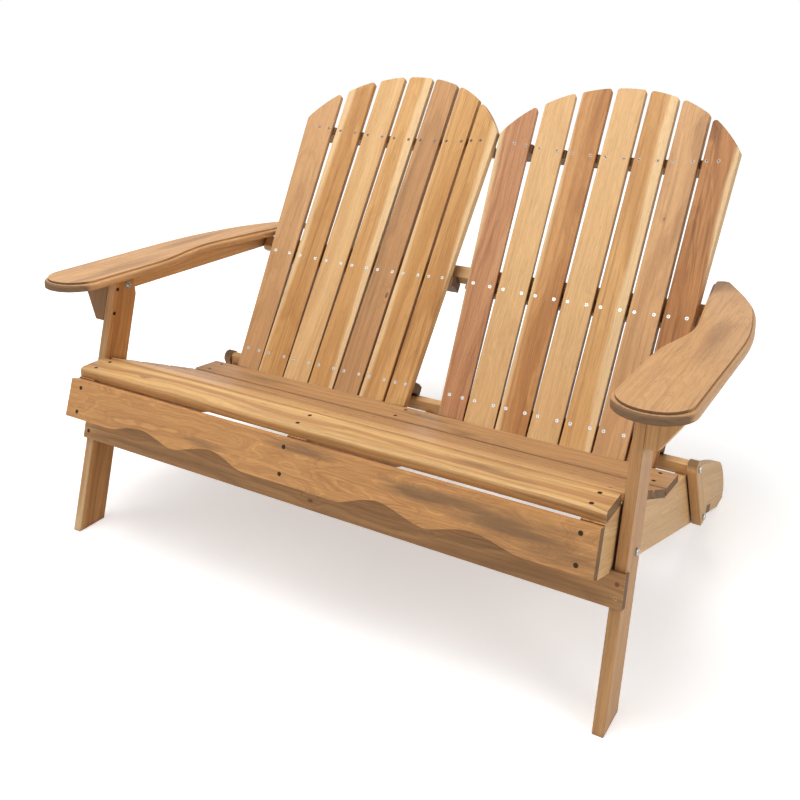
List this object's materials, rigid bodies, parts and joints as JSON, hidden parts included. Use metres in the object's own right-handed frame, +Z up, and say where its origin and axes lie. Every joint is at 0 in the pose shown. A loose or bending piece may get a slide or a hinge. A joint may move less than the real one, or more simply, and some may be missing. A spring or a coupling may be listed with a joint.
{
  "type": "folding adirondack loveseat",
  "caption": "Slatted hardwood garden seat for two with twin arched fan backs, paddle arms and a bolted side linkage that folds the backs down over the seat.",
  "frame": {"origin": "on the floor, under the middle of the bounding box at rest", "axes": "+X along the seat, to the right as seen from in front; +Y from the front to the rear; +Z up"},
  "size_m": [1.384, 0.989, 0.9251],
  "materials": {
    "golden_hardwood": "oiled, satin, planed boards",
    "oiled_hardwood": "oiled, satin, planed boards",
    "dark_hardwood": "oiled, satin, dark heartwood",
    "zinc_steel": "zinc plated, slightly dull"
  },
  "bodies": {
    "seat": {"apron": "oiled_hardwood", "apron_screws": "zinc_steel", "rail_bolts": "zinc_steel", "rail_left": "oiled_hardwood", "rail_middle": "oiled_hardwood", "rail_nuts": "zinc_steel", "rail_right": "oiled_hardwood", "rail_washers": "zinc_steel", "rear_stretcher": "oiled_hardwood", "seat_bearer_left": "oiled_hardwood", "seat_bearer_middle": "oiled_hardwood", "seat_bearer_right": "oiled_hardwood", "seat_screws": "zinc_steel", "seat_slat_1_front": "golden_hardwood", "seat_slat_2": "golden_hardwood", "seat_slat_3": "golden_hardwood", "seat_slat_4": "golden_hardwood", "seat_slat_5_rear": "golden_hardwood"},
    "front_frame": {"arm_bracket_left": "dark_hardwood", "arm_bracket_right": "dark_hardwood", "arm_front_bolts": "zinc_steel", "arm_front_washers": "zinc_steel", "bracket_screws": "zinc_steel", "front_leg_left": "oiled_hardwood", "front_leg_right": "oiled_hardwood", "front_stretcher": "oiled_hardwood", "stretcher_screws": "zinc_steel"},
    "struts": {"strut_left": "oiled_hardwood", "strut_right": "oiled_hardwood"},
    "backs": {"back_beam_lower": "golden_hardwood", "back_beam_middle": "golden_hardwood", "back_bolts": "zinc_steel", "back_left_cleat_lower": "golden_hardwood", "back_left_cleat_middle": "golden_hardwood", "back_left_cleat_upper": "golden_hardwood", "back_left_slat_1": "golden_hardwood", "back_left_slat_2": "golden_hardwood", "back_left_slat_3": "golden_hardwood", "back_left_slat_4": "golden_hardwood", "back_left_slat_5": "golden_hardwood", "back_left_slat_6": "golden_hardwood", "back_left_slat_7": "golden_hardwood", "back_right_cleat_lower": "golden_hardwood", "back_right_cleat_middle": "golden_hardwood", "back_right_cleat_upper": "golden_hardwood", "back_right_slat_1": "golden_hardwood", "back_right_slat_2": "golden_hardwood", "back_right_slat_3": "golden_hardwood", "back_right_slat_4": "golden_hardwood", "back_right_slat_5": "golden_hardwood", "back_right_slat_6": "golden_hardwood", "back_right_slat_7": "golden_hardwood", "back_screws": "zinc_steel"},
    "arms": {"arm_front_nuts": "zinc_steel", "arm_left": "oiled_hardwood", "arm_rail_left": "oiled_hardwood", "arm_rail_right": "oiled_hardwood", "arm_rear_bolts": "zinc_steel", "arm_right": "oiled_hardwood"}
  },
  "joints": [
    {"name": "leg_fold", "type": "hinge", "parent": "seat", "child": "front_frame", "pos_m": [0, -0.35933, 0.26552], "axis": [1, 0, 0], "range_deg": [0, 82.1]},
    {"name": "strut_swing", "type": "hinge", "parent": "seat", "child": "struts", "pos_m": [0, 0.11317, 0.0975], "axis": [1, 0, 0], "range_deg": [-58, 0]},
    {"name": "back_fold", "type": "hinge", "parent": "struts", "child": "backs", "pos_m": [0, 0.04617, 0.2315], "axis": [1, 0, 0], "range_deg": [0, 148.6]},
    {"name": "arm_fold", "type": "hinge", "parent": "backs", "child": "arms", "pos_m": [0, 0.21667, 0.50356], "axis": [1, 0, 0], "range_deg": [-86.3, 0]}
  ],
  "couplings": [
    {"joint": "leg_fold", "follows": "strut_swing", "ratio": -1.4138},
    {"joint": "back_fold", "follows": "strut_swing", "ratio": -2.5593},
    {"joint": "arm_fold", "follows": "strut_swing", "ratio": 1.4848}
  ]
}
